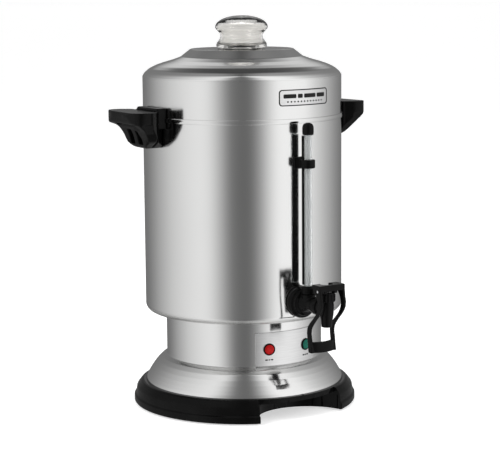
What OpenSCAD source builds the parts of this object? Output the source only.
// Percolating coffee urn with a push faucet, sight gauge and twist-off lid.
// Frame: +Z up, the faucet faces -Y, origin on the surface the urn stands on,
// on the axis of the round body.

/* [Body] */
// Outside diameter of the round body
body_d = 240; // [232:1:248]
// Wall thickness of the body and of the lid
wall = 1.2; // [1:0.1:1.6]
// Height of the body's flat underside above the table
body_bottom = 115; // [114:1:116]
// Height of the body's rim above the table
body_top = 399; // [398:1:400]

/* [Pedestal and base] */
// Outside diameter of the pedestal's straight part
pedestal_d = 190; // [186:1:194]
// Outside diameter of the base
base_d = 272; // [268:1:276]
// Height of the base
base_h = 28; // [27:0.5:29]
// Radius of the round cup recess in the front of the base
scoop_r = 60; // [54:1:62]
// Distance from the urn's axis to the middle of the cup recess
scoop_y = 134.5; // [132:0.5:138]

/* [Faucet] */
// Height of the faucet's shank
shank_z = 140; // [138:1:142]
// Distance from the urn's axis to the valve's axis
valve_y = 172; // [170:1:174]

/* [Sight gauge] */
// Distance from the urn's axis to the gauge tube
gauge_y = 136.5; // [136:0.5:138]
// Height of the gauge tube's top end
gauge_top = 346; // [330:1:352]

/* [Handles] */
// Reach of each handle from the urn's axis
handle_reach = 167; // [164:1:170]
// Width of each grip
grip_w = 86; // [82:1:90]
// Height of the handles' upper face
handle_top = 363; // [360:1:364]
// Turn of each handle towards the back, in degrees
handle_turn = 3; // [0:1:5]

/* [Hidden] */

$fn = 64;
smooth = 128;
slip = 0.05;

body_r = body_d / 2;
body_ri = body_r - wall;
corner_r = 9;
ped_r = pedestal_d / 2;
ped_wall = 1;
flange_w = 12;
base_r = base_d / 2;
ledge_r = 124;
skirt_r = 121;
skirt_top = 61;
pad_r = 112;
pad_turn = 42;

panel_turn = 25.6;
panel_bottom = 61;
panel_top = 101;
panel_out = ped_r + 1.8;
lamp_turn = 15.7;
lamp_z = 81;
lamp_r = 6;

inlet_z = 72;
inlet_w = 30;
inlet_h = 24;
pin_gap = 6;

valve_r = 8;
chamber_r = 6.5;
seat_r = 4;
seat_z = 126;
spout_bottom = 118;
spout_top = 132;
valve_top = 156;
bonnet_top = 159;
pivot_y = valve_y + 6;
pivot_z = 161.5;
web_z = 160.3;
pin_r = 1.5;
arm_in = 14.7;
arm_out = 17.7;

tube_r = 4.6;
tube_bore = 3.6;
gauge_bottom = 152;
nut_r = 8.6;

back_r = body_r + 0.6;
band_z = 349;
band_h = 5.5;

lid_top = 431.5;
knob_z = 431.8;
hub_r = 17;
lid_seat = body_top + 0.4;

pump_r = 6;
basket_r = 56;
basket_z = 300;
basket_h = 74;
sleeve_r = 8.4;
well_r = 24;

// ---- helpers ----

// A cylinder from y0 to y1 along Y at height z
module along_y(r, y0, y1, z)
    translate([0, y0, z]) rotate([-90, 0, 0]) cylinder(r = r, h = y1 - y0);

module ring(r_out, r_in, h)
    difference() {
        cylinder(r = r_out, h = h, $fn = smooth);
        translate([0, 0, -1]) cylinder(r = r_in, h = h + 2, $fn = smooth);
    }

module at_corners(r, start = 55)
    for (i = [0:3]) rotate([0, 0, start + 90 * i]) translate([r, 0, 0]) children();

function arc(cx, cz, r, a0, a1, n) =
    [for (i = [0:n]) [cx + r * cos(a0 + (a1 - a0) * i / n), cz + r * sin(a0 + (a1 - a0) * i / n)]];

function reversed(list) = [for (i = [len(list) - 1:-1:0]) list[i]];

// ---- base ----

base_side = [
    [base_r, 1.5], [base_r, 9], [base_r - 2, 10.5], [base_r - 2, 12], [base_r - 3.5, 20],
    [base_r - 5.4, 23.7], [base_r - 9, 27.2], [base_r - 12, base_h]
];

module base_block(r_in = 0)
    rotate_extrude($fn = smooth)
        polygon(concat(base_side, [[r_in, base_h], [r_in, 1.5]]));

module scoop(r, z0, z1)
    translate([0, -scoop_y, z0]) cylinder(r = r, h = z1 - z0, $fn = smooth);

module base_foot() color([0.03, 0.03, 0.035]) {
    difference() {
        base_block();
        difference() {
            union() {
                cylinder(r = base_r - 7, h = base_h - 4, $fn = smooth);
                cylinder(r = 88, h = base_h + 1, $fn = smooth);
            }
            scoop(scoop_r + 3, -1, base_h + 2);
        }
        scoop(scoop_r, 0, base_h - 6);
        difference() {
            scoop(scoop_r, 0, base_h + 1);
            translate([0, 0, -1]) cylinder(r = ledge_r, h = base_h + 3, $fn = smooth);
        }
    }
    at_corners(104) difference() {
        translate([0, 0, 6]) cylinder(r = 5, h = base_h - 9);
        translate([0, 0, 5]) cylinder(r = 1.6, h = 14);
    }
}

module floor_plate() color([0.35, 0.35, 0.36])
    difference() {
        translate([0, 0, 4.4]) cylinder(r = base_r - 8, h = 1.2, $fn = smooth);
        scoop(scoop_r + 4, 0, 10);
        at_corners(104) translate([0, 0, 3]) cylinder(r = 2.1, h = 4);
        for (i = [0:7]) rotate([0, 0, 22.5 + 45 * i]) translate([50, 0, 3]) cylinder(r = 1.2, h = 4);
    }

module floor_plate_screws() color([0.7, 0.7, 0.72])
    at_corners(104) {
        translate([0, 0, 2.4]) cylinder(r = 3.4, h = 2);
        translate([0, 0, 4.4]) cylinder(r = 1.55, h = 12);
    }

module foot_pads() color([0.08, 0.08, 0.08])
    for (turn = [pad_turn, 180 - pad_turn, 180 + pad_turn, -pad_turn])
        rotate([0, 0, turn]) translate([pad_r, 0, 0]) difference() {
            cylinder(r = 8, h = 4.4);
            translate([0, 0, -1]) cylinder(r = 3, h = 2.5);
        }

// ---- pedestal ----

// The skirt's outer side, from its foot up to the pedestal's straight wall
skirt_side = [
    [skirt_r, base_h], [119.8, 32], [117.4, 36.4], [114.4, 41.4], [110.6, 47], [106, 52.6],
    [101, 57.2], [ped_r + 1.2, 60], [ped_r, skirt_top]
];

module pedestal_skirt() color([0.78, 0.78, 0.79])
    rotate_extrude($fn = smooth)
        polygon(concat(skirt_side, reversed([for (p = skirt_side) [p[0] - ped_wall, p[1]]])));

module lamp_holes()
    for (s = [-1, 1]) rotate([0, 0, s * lamp_turn])
        along_y(lamp_r + 0.5, -ped_r - 6, -ped_r + 5, lamp_z);

module pedestal_shell() color([0.78, 0.78, 0.79])
    difference() {
        rotate_extrude($fn = smooth) polygon([
            [ped_r - flange_w, body_bottom], [ped_r, body_bottom],
            [ped_r, skirt_top], [ped_r - ped_wall, skirt_top],
            [ped_r - ped_wall, body_bottom - ped_wall], [ped_r - flange_w, body_bottom - ped_wall]
        ]);
        lamp_holes();
        translate([-inlet_w / 2 + 2, ped_r - 6, inlet_z - inlet_h / 2 + 2])
            cube([inlet_w - 4, 10, inlet_h - 4]);
        for (s = [-1, 1]) translate([s * 20, 0, 0]) along_y(1.7, ped_r - 8, ped_r + 3, inlet_z);
    }

module control_panel() color([0.72, 0.72, 0.72])
    difference() {
        intersection() {
            translate([0, 0, panel_bottom]) ring(panel_out, ped_r + 0.05, panel_top - panel_bottom);
            translate([0, 0, panel_bottom]) linear_extrude(panel_top - panel_bottom)
                polygon([[0, 0], [-150 * sin(panel_turn), -150 * cos(panel_turn)],
                    [0, -170], [150 * sin(panel_turn), -150 * cos(panel_turn)]]);
        }
        lamp_holes();
    }

module lens(turn, shade) color(shade)
    rotate([0, 0, turn]) {
        along_y(lamp_r, -ped_r - 3.4, -ped_r + 3, lamp_z);
        along_y(lamp_r - 1.5, -ped_r - 4.2, -ped_r - 3.4, lamp_z);
    }

module power_lamp_lens() lens(-lamp_turn, [0.75, 0.06, 0.05]);

module ready_lamp_lens() lens(lamp_turn, [0.02, 0.42, 0.3]);

module lamp_bezels() color([0.1, 0.1, 0.1])
    for (s = [-1, 1]) rotate([0, 0, s * lamp_turn]) difference() {
        along_y(lamp_r + 1.3, -ped_r - 3, -ped_r - 1.8, lamp_z);
        along_y(lamp_r + 0.05, -ped_r - 4, -ped_r + 1, lamp_z);
    }

module lamp_housings() color([0.85, 0.85, 0.82])
    for (s = [-1, 1]) rotate([0, 0, s * lamp_turn]) difference() {
        along_y(lamp_r, -ped_r + 3, -ped_r + 24, lamp_z);
        along_y(lamp_r - 1.5, -ped_r + 2, -ped_r + 20, lamp_z);
    }

module power_inlet() color([0.06, 0.06, 0.06])
    difference() {
        union() {
            translate([-26, ped_r + 0.4, inlet_z - inlet_h / 2 + 1.2]) cube([52, 3, inlet_h - 2.4]);
            translate([-inlet_w / 2 + 2.2, ped_r - 20, inlet_z - inlet_h / 2 + 2.2])
                cube([inlet_w - 4.4, 21, inlet_h - 4.4]);
        }
        translate([-inlet_w / 2 + 4.5, ped_r - 16, inlet_z - inlet_h / 2 + 4.5])
            cube([inlet_w - 9, 25, inlet_h - 9]);
        for (s = [-1, 1]) translate([s * 20, 0, 0]) along_y(1.7, ped_r - 8, ped_r + 6, inlet_z);
        for (s = [-1, 0, 1]) translate([s * pin_gap - 1 - slip, ped_r - 21, inlet_z - 2 - slip])
            cube([2 + 2 * slip, 6, 4 + 2 * slip]);
    }

module inlet_pins() color([0.8, 0.7, 0.4])
    for (s = [-1, 0, 1]) translate([s * pin_gap - 1, ped_r - 24, inlet_z - 2]) cube([2, 20, 4]);

module inlet_screws() color([0.7, 0.7, 0.72])
    for (s = [-1, 1]) translate([s * 20, 0, 0]) {
        along_y(1.6, ped_r - 6, ped_r + 3.4, inlet_z);
        along_y(3, ped_r + 3.4, ped_r + 5, inlet_z);
    }

// ---- body ----

body_side = concat(
    [[0, body_bottom], [body_r - corner_r - 0.5, body_bottom]],
    arc(body_r - corner_r, body_bottom + corner_r, corner_r, -90, 0, 8),
    [[body_r, body_top]]
);

module urn_body() color([0.8, 0.8, 0.81])
    difference() {
        rotate_extrude($fn = smooth) polygon(concat(
            body_side,
            [[body_ri, body_top]],
            reversed(arc(body_r - corner_r, body_bottom + corner_r, corner_r - wall, -90, 0, 8)),
            [[0, body_bottom + wall]]
        ));
        translate([0, 0, body_bottom - 1]) cylinder(r = well_r, h = 5);
        along_y(8.7, -body_r - 4, -body_r + 8, shank_z);
    }

module brew_heater() color([0.66, 0.66, 0.67]) {
    difference() {
        translate([0, 0, body_bottom - 10]) cylinder(r = well_r + 6, h = 10);
        translate([0, 0, body_bottom - 7]) cylinder(r = well_r, h = 8);
    }
    for (s = [-1, 1]) translate([s * 12, 0, body_bottom - 20]) cylinder(r = 3, h = 10);
}

module warming_heater() color([0.55, 0.5, 0.45])
    translate([0, 0, body_bottom - 4.2]) rotate_extrude($fn = smooth) translate([56, 0]) circle(4, $fn = 32);

module heater_clamp() color([0.6, 0.6, 0.62])
    difference() {
        translate([-70, -9, body_bottom - 22.4]) cube([140, 18, 2]);
        for (s = [-1, 1]) translate([s * 12, 0, body_bottom - 24]) cylinder(r = 3.3, h = 6);
        for (s = [-1, 1]) translate([s * 42, 0, body_bottom - 24]) cylinder(r = 2.3, h = 6);
    }

module clamp_studs() color([0.65, 0.65, 0.66])
    for (s = [-1, 1]) translate([s * 42, 0, body_bottom - 30]) cylinder(r = 2.2, h = 30);

module clamp_nuts() color([0.6, 0.55, 0.4])
    for (s = [-1, 1]) translate([s * 42, 0, body_bottom - 26.4]) difference() {
        cylinder(r = 4.6, h = 4, $fn = 6);
        translate([0, 0, -1]) cylinder(r = 2.25, h = 6, $fn = 32);
    }

module thermostat() color([0.85, 0.83, 0.78])
    translate([0, 40, body_bottom - 12]) {
        cylinder(r = 9, h = 12);
        translate([-6, -1.5, -5]) cube([3, 3, 5]);
        translate([3, -1.5, -5]) cube([3, 3, 5]);
    }

module thermal_cutoff() color([0.8, 0.8, 0.7])
    translate([0, -78, body_bottom - 8]) {
        cylinder(r = 6.5, h = 7);
        translate([-4.5, -1, -4]) cube([2, 2, 4]);
        translate([2.5, -1, -4]) cube([2, 2, 4]);
    }

module wiring_block() color([0.88, 0.87, 0.82])
    difference() {
        translate([-24, 30, 30]) cube([48, 20, 18]);
        for (i = [-1:1]) translate([i * 15, 40, 40]) cylinder(r = 3, h = 10);
    }

module name_plate() color([0.82, 0.82, 0.83])
    rotate([0, 0, 4.5]) intersection() {
        translate([0, 0, 369]) ring(body_r + 0.45, body_r + 0.05, 20);
        translate([-36.5, -body_r - 5, 0]) rotate([90, 0, 180]) mirror([1, 0, 0]) translate([0, 0, -12])
            linear_extrude(20) union() {
                translate([4, 369.5]) square([65, 19]);
                translate([0, 373.5]) square([73, 11]);
                for (x = [4, 69], z = [373.5, 384.5]) translate([x, z]) circle(4);
            }
    }

// ---- handles ----

// Half outlines of a handle, with r out from the urn's axis and w to one side
grip_plan = [
    [back_r - 5, 14], [126, 23], [134, 34], [141, 40], [148, grip_w / 2],
    [handle_reach - 11, grip_w / 2 - 1.5], [handle_reach - 5, grip_w / 2 - 6],
    [handle_reach - 1.4, grip_w / 2 - 15], [handle_reach, grip_w / 2 - 28]
];
grip_front = [
    [grip_w / 2, handle_top], [grip_w / 2, 350.5], [40, 348], [34, 345.5], [32, 338], [28, 330], [22.4, 323],
    [17, 320.5], [9, 318.8]
];
grip_side = [
    [100, handle_top], [handle_reach - 3, handle_top], [handle_reach, handle_top - 2.5],
    [handle_reach - 2, 350.5], [158, 346.8], [151, 343], [147.5, 338], [145, 332], [142.4, 324],
    [139, 320], [135, 318.8], [100, 318.8]
];
finger_pocket = [[152, 27], [158, 27], [handle_reach - 6.5, 20], [handle_reach - 5, 10]];

function both_sides(half) = concat(half, reversed([for (p = half) [p[0], -p[1]]]));

function both_ways(half) = concat(half, reversed([for (p = half) [-p[0], p[1]]]));

screw_z = 332;
screw_w = 9.9;

module handle()
    difference() {
        intersection() {
            translate([0, 0, 310]) linear_extrude(60) polygon(both_sides(grip_plan));
            rotate([90, 0, 90]) linear_extrude(180) polygon(both_ways(grip_front));
            rotate([90, 0, 0]) translate([0, 0, -60]) linear_extrude(120) polygon(grip_side);
        }
        cylinder(r = back_r, h = 400, $fn = smooth);
        translate([0, 0, band_z - 0.3]) cylinder(r = back_r + 1.2, h = band_h + 0.6, $fn = smooth);
        translate([0, 0, 330]) linear_extrude(handle_top - 333.5) polygon(both_sides(finger_pocket));
        for (s = [-1, 1]) translate([134, s * screw_w - 5.5, screw_z - 9]) cube([20, 11, 18]);
        for (s = [-1, 1]) translate([100, s * screw_w, screw_z]) rotate([0, 90, 0])
            cylinder(r = 1.8, h = 40, $fn = 32);
    }

module left_handle() color([0.03, 0.03, 0.035]) rotate([0, 0, 180 - handle_turn]) handle();

module right_handle() color([0.03, 0.03, 0.035]) rotate([0, 0, handle_turn]) handle();

module handle_screws() color([0.7, 0.7, 0.72])
    for (turn = [180 - handle_turn, handle_turn], s = [-1, 1])
        rotate([0, 0, turn]) translate([body_r + 0.4, s * screw_w, screw_z]) rotate([0, 90, 0]) {
            cylinder(r = 1.75, h = 14, $fn = 32);
            translate([0, 0, 13.6]) cylinder(r = 3.2, h = 2, $fn = 32);
        }

module clamp_band() color([0.8, 0.8, 0.81])
    translate([0, 0, band_z]) ring(body_r + 1.1, body_r + 0.1, band_h);

// ---- faucet ----

module faucet_body() color([0.03, 0.03, 0.035])
    difference() {
        union() {
            along_y(8.5, -valve_y, -104, shank_z);
            along_y(19, -128, -118, shank_z);
            along_y(15.5, -132, -128, shank_z);
            along_y(11, -valve_y + 10, -valve_y + 20, shank_z);
            translate([0, -valve_y, spout_top]) cylinder(r = valve_r, h = valve_top - spout_top);
            translate([0, -gauge_y, shank_z]) cylinder(r = 8, h = gauge_bottom - shank_z);
        }
        translate([0, 0, 100]) cylinder(r = body_r + 1.6, h = 28, $fn = smooth);
        difference() {
            translate([0, 0, 100]) cylinder(r = body_r + 1.6, h = 80, $fn = smooth);
            along_y(8.5, -150, -100, shank_z);
        }
        along_y(4.5, -valve_y, -100, shank_z);
        translate([0, -valve_y, seat_z]) cylinder(r = chamber_r, h = 40);
        translate([0, -valve_y, 100]) cylinder(r = valve_r + slip, h = spout_top - 100);
        translate([0, -gauge_y, shank_z]) cylinder(r = tube_bore, h = 20);
        translate([0, -gauge_y, gauge_bottom]) cylinder(r = nut_r + 0.4, h = 12);
    }

module faucet_spout() color([0.03, 0.03, 0.035])
    translate([0, -valve_y, 0]) rotate_extrude() polygon([
        [seat_r, spout_bottom], [6.2, spout_bottom], [valve_r, spout_top], [chamber_r, spout_top],
        [chamber_r, seat_z], [seat_r, seat_z]
    ]);

module outer_gasket() color([0.12, 0.12, 0.12])
    difference() {
        along_y(18, -126, -112, shank_z);
        translate([0, 0, 100]) cylinder(r = body_r + 0.1, h = 80, $fn = smooth);
        difference() {
            translate([0, 0, 100]) cylinder(r = 200, h = 80, $fn = smooth);
            translate([0, 0, 99]) cylinder(r = body_r + 1.5, h = 82, $fn = smooth);
        }
        along_y(8.6, -130, -100, shank_z);
    }

module inner_gasket() color([0.75, 0.75, 0.7])
    difference() {
        along_y(15, -119, -113, shank_z);
        along_y(8.6, -130, -100, shank_z);
        difference() {
            translate([0, 0, 100]) cylinder(r = 200, h = 80, $fn = smooth);
            translate([0, 0, 99]) cylinder(r = body_ri - 0.1, h = 82, $fn = smooth);
        }
    }

module faucet_nut() color([0.75, 0.75, 0.76])
    difference() {
        translate([0, -112.9, shank_z]) rotate([-90, 30, 0]) cylinder(r = 15, h = 7, $fn = 6);
        along_y(8.55, -130, -100, shank_z);
    }

module faucet_bonnet() color([0.03, 0.03, 0.035])
    translate([0, -valve_y, 0]) difference() {
        union() {
            translate([0, 0, valve_top - 7.4]) cylinder(r = 9.6, h = bonnet_top - valve_top + 7.4);
            for (s = [-1, 1]) {
                translate([s * 7 - 2, -8.6, bonnet_top - 0.5]) cube([4, 5.2, pivot_z - bonnet_top + 0.5]);
                translate([s * 7 - 2, -6, pivot_z]) rotate([0, 90, 0]) cylinder(r = 2.6, h = 4);
            }
        }
        translate([0, 0, valve_top - 9]) cylinder(r = valve_r + slip, h = 9);
        translate([0, 0, valve_top - 9]) cylinder(r = 2.6, h = 20);
        translate([-12, -6, pivot_z]) rotate([0, 90, 0]) cylinder(r = pin_r + 0.02, h = 24);
    }

module lever_pin() color([0.7, 0.7, 0.72])
    translate([-arm_out + 0.4, -pivot_y, pivot_z]) rotate([0, 90, 0])
        cylinder(r = pin_r, h = 2 * arm_out - 0.8);

// Outline of each arm, with y counted from the valve's axis
arm_side = [
    [-12, 160], [-12, 168.5], [5, 168.5], [4.5, 161], [-3, 156], [-6.5, 145], [-2, 134], [13.5, 117],
    [13, 98], [12, 88], [5.5, 88], [7, 99], [7, 117], [-10.5, 137], [-14, 147], [-12.5, 155]
];

module faucet_lever() color([0.03, 0.03, 0.035])
    difference() {
        union() {
            for (x = [-arm_out, arm_in]) translate([x, -valve_y, 0])
                rotate([90, 0, 90]) linear_extrude(arm_out - arm_in) polygon(arm_side);
            translate([-arm_out, -valve_y - 12, 165.5]) cube([2 * arm_out, 17, 3]);
            for (s = [0, 1]) mirror([s, 0, 0]) translate([3.3, -valve_y - 3, web_z])
                cube([arm_in - 2.3, 6.5, 2.4]);
            intersection() {
                translate([0, -valve_y + 30.5, 88]) ring(28, 22, 12);
                translate([-arm_out, -valve_y - 2, 80]) cube([2 * arm_out, 16, 24]);
            }
        }
        translate([-30, -pivot_y, pivot_z]) rotate([0, 90, 0]) cylinder(r = pin_r + slip, h = 60);
        translate([0, -valve_y, web_z + 2.4]) cylinder(r = 7.5, h = 20);
    }

module valve_stem() color([0.75, 0.75, 0.76])
    translate([0, -valve_y, 0]) {
        translate([0, 0, seat_z + 5]) cylinder(r = 2.5, h = 32.5);
        translate([0, 0, seat_z + 6]) cylinder(r = 5, h = 2);
        translate([0, 0, web_z + 2.7]) cylinder(r = 5, h = 1.8);
    }

module seat_plug() color([0.75, 0.73, 0.7])
    translate([0, -valve_y, seat_z + 0.2]) cylinder(r = 6, h = 4.8);

module valve_spring() color([0.7, 0.7, 0.72])
    translate([0, -valve_y, seat_z + 8.2]) difference() {
        cylinder(r = 4.6, h = 21.6);
        translate([0, 0, -1]) cylinder(r = 3.4, h = 24);
    }

// ---- sight gauge ----

module gauge_tube() color([0.85, 0.9, 0.9, 0.4])
    translate([0, -gauge_y, gauge_bottom]) difference() {
        cylinder(r = tube_r, h = gauge_top - gauge_bottom - 4);
        translate([0, 0, -1]) cylinder(r = tube_bore, h = gauge_top);
    }

module gauge_guard() color([0.03, 0.03, 0.035])
    translate([0, -gauge_y, 162]) difference() {
        translate([-5, tube_r - 1.6, 0]) cube([10, 3.6, gauge_top - 172]);
        translate([0, 0, -1]) cylinder(r = tube_r + 0.1, h = gauge_top);
    }

module gauge_cap() color([0.03, 0.03, 0.035])
    translate([0, -gauge_y, 0]) difference() {
        union() {
            translate([0, 0, gauge_top - 9]) cylinder(r = 6.6, h = 10);
            translate([0, 0, gauge_top + 1]) cylinder(r1 = 6.6, r2 = 3.4, h = 4, $fn = 64);
        }
        translate([0, 0, gauge_top - 10]) cylinder(r = tube_r + 0.1, h = 6.2);
    }

module gauge_bracket() color([0.03, 0.03, 0.035])
    difference() {
        union() {
            translate([0, -gauge_y, 298.5]) cylinder(r = 8.2, h = 10);
            translate([-6, -gauge_y + 4, 298.5]) cube([12, 14, 10]);
        }
        translate([0, 0, 290]) cylinder(r = body_r + 0.1, h = 30, $fn = smooth);
        translate([0, -gauge_y, 290]) cylinder(r = tube_r + 0.1, h = 30);
        translate([-5.1, -gauge_y + tube_r - 1.7, 290]) cube([10.2, 3.8, 30]);
    }

module gauge_nut() color([0.03, 0.03, 0.035])
    translate([0, -gauge_y, gauge_bottom]) difference() {
        cylinder(r = nut_r, h = 9);
        translate([0, 0, -1]) cylinder(r = tube_r + 0.1, h = 12);
        translate([0, 0, -1]) cylinder(r = 7.2, h = 5);
    }

module gauge_seal() color([0.7, 0.7, 0.68])
    translate([0, -gauge_y, gauge_bottom + 0.1]) ring(7.1, tube_r + 0.05, 3.8);

// ---- lid ----

lid_side = [
    [hub_r, lid_top], [62, lid_top], [64, 430.6], [69, 426.6], [73, 423.2], [76, 421.5], [85, 418.6],
    [98, 415.4], [106, 412.6], [111.5, 409.8], [115.5, 406.8], [118.3, 403.4], [119.7, 400.9],
    [body_r, lid_seat]
];
lid_inside = [
    [116.2, lid_seat], [116.2, 402.2], [114.4, 405.6], [110.6, 408.5], [105.4, 411.3], [97.6, 414.1],
    [84.6, 417.3], [75.6, 420.2], [72.4, 422], [68.4, 425.3], [63.6, 429.2], [61.6, lid_top - wall],
    [hub_r, lid_top - wall]
];

module lid_shell() color([0.8, 0.8, 0.81]) {
    rotate_extrude($fn = smooth) polygon(concat(lid_side, lid_inside));
    translate([0, 0, 385]) ring(body_ri - 1.6, body_ri - 2.8, lid_seat - 385 + 1.2);
    for (i = [0:2]) rotate([0, 0, 90 + 120 * i]) translate([body_ri - 2.4, -8, 392]) cube([1.7, 16, 3]);
}

knob_out = [
    [30.3, 435.3], [30, 438], [27.6, 441], [25.6, 444.4], [25.2, 447.6], [27, 451], [29.8, 453.8],
    [31.8, 457], [30.8, 460.4], [28, 464], [21.5, 467.7], [11, 470.7], [0, 471.3]
];
knob_in = [
    [0, 467.8], [10.5, 467.2], [20, 464.2], [25.5, 461.2], [28, 458.6], [28.3, 456.8], [26.4, 455],
    [23.8, 452], [22, 448], [22.4, 444], [24.4, 441], [26, 438.6], [26, 436], [20, 436]
];

module knob_glass() color([0.85, 0.9, 0.92, 0.4])
    rotate_extrude($fn = smooth) polygon(concat(
        [[20, knob_z + 0.4], [29, knob_z + 0.4]],
        knob_out,
        knob_in
    ));

module knob_gasket() color([0.06, 0.06, 0.06])
    translate([0, 0, lid_top + 0.05]) ring(23, hub_r + 0.5, 0.6);

module knob_clip() color([0.78, 0.78, 0.79]) {
    translate([0, 0, 427]) ring(hub_r - 0.1, hub_r - 1.5, 10.2);
    translate([0, 0, 436.1]) ring(21.5, hub_r - 1.5, 1.1);
    translate([0, 0, 427]) ring(21, hub_r - 0.2, 1.2);
}

// ---- percolator ----

module pump_tube() color([0.8, 0.8, 0.81]) {
    difference() {
        translate([0, 0, 122]) cylinder(r = pump_r, h = 312);
        translate([0, 0, 121]) cylinder(r = pump_r - 1, h = 306);
        for (a = [0, 90]) translate([0, 0, 424]) rotate([90, 0, a]) translate([0, 0, -10])
            cylinder(r = 1.5, h = 20, $fn = 32);
    }
    difference() {
        translate([0, 0, basket_z - 4]) cylinder(r = 12, h = 3.6);
        translate([0, 0, basket_z - 5]) cylinder(r = pump_r - 0.5, h = 6);
    }
    translate([0, 0, 434]) sphere(r = 4.5, $fn = 32);
}

module pump_foot() color([0.78, 0.78, 0.79])
    difference() {
        union() {
            translate([0, 0, 110.4]) cylinder(r1 = 22, r2 = 20, h = 3, $fn = 64);
            translate([0, 0, 113.4]) cylinder(r1 = 20, r2 = 9, h = 7, $fn = 64);
            translate([0, 0, 120.4]) cylinder(r = 9, h = 8);
        }
        translate([0, 0, 122]) cylinder(r = pump_r + 0.02, h = 10);
        translate([0, 0, 109]) cylinder(r = pump_r - 1, h = 20);
    }

module coffee_basket() color([0.78, 0.78, 0.79])
    difference() {
        union() {
            difference() {
                translate([0, 0, basket_z]) cylinder(r = basket_r, h = basket_h, $fn = smooth);
                translate([0, 0, basket_z + 1.2]) cylinder(r = basket_r - 1, h = basket_h, $fn = smooth);
            }
            translate([0, 0, basket_z + basket_h - 1.2]) ring(basket_r + 2.5, basket_r - 0.5, 1.2);
            translate([0, 0, basket_z]) cylinder(r = sleeve_r, h = basket_h - 2);
        }
        translate([0, 0, basket_z - 1]) cylinder(r = pump_r + 0.6, h = basket_h + 2);
        for (r = [20, 40], i = [0:7]) rotate([0, 0, i * 45 + r]) translate([r, 0, basket_z - 1])
            cylinder(r = 1.5, h = 4, $fn = 24);
    }

module basket_cover() color([0.8, 0.8, 0.81])
    difference() {
        union() {
            translate([0, 0, basket_z + basket_h + 0.3]) cylinder(r = basket_r + 2, h = 1.2, $fn = smooth);
            translate([0, 0, basket_z + basket_h + 1]) ring(basket_r + 2, basket_r, 5);
        }
        translate([0, 0, basket_z + basket_h - 1]) cylinder(r = pump_r + 0.6, h = 8);
        for (r = [20, 40], i = [0:7]) rotate([0, 0, i * 45 + r]) translate([r, 0, basket_z + basket_h - 1])
            cylinder(r = 1.2, h = 5, $fn = 24);
    }

base_foot();
floor_plate();
floor_plate_screws();
foot_pads();
pedestal_shell();
pedestal_skirt();
control_panel();
power_lamp_lens();
ready_lamp_lens();
lamp_bezels();
lamp_housings();
power_inlet();
inlet_pins();
inlet_screws();
urn_body();
name_plate();
brew_heater();
warming_heater();
heater_clamp();
clamp_studs();
clamp_nuts();
thermostat();
thermal_cutoff();
wiring_block();
clamp_band();
left_handle();
right_handle();
handle_screws();
faucet_body();
faucet_spout();
outer_gasket();
inner_gasket();
faucet_nut();
faucet_bonnet();
lever_pin();
faucet_lever();
valve_stem();
seat_plug();
valve_spring();
gauge_tube();
gauge_guard();
gauge_cap();
gauge_bracket();
gauge_nut();
gauge_seal();
lid_shell();
knob_glass();
knob_gasket();
knob_clip();
pump_tube();
pump_foot();
coffee_basket();
basket_cover();
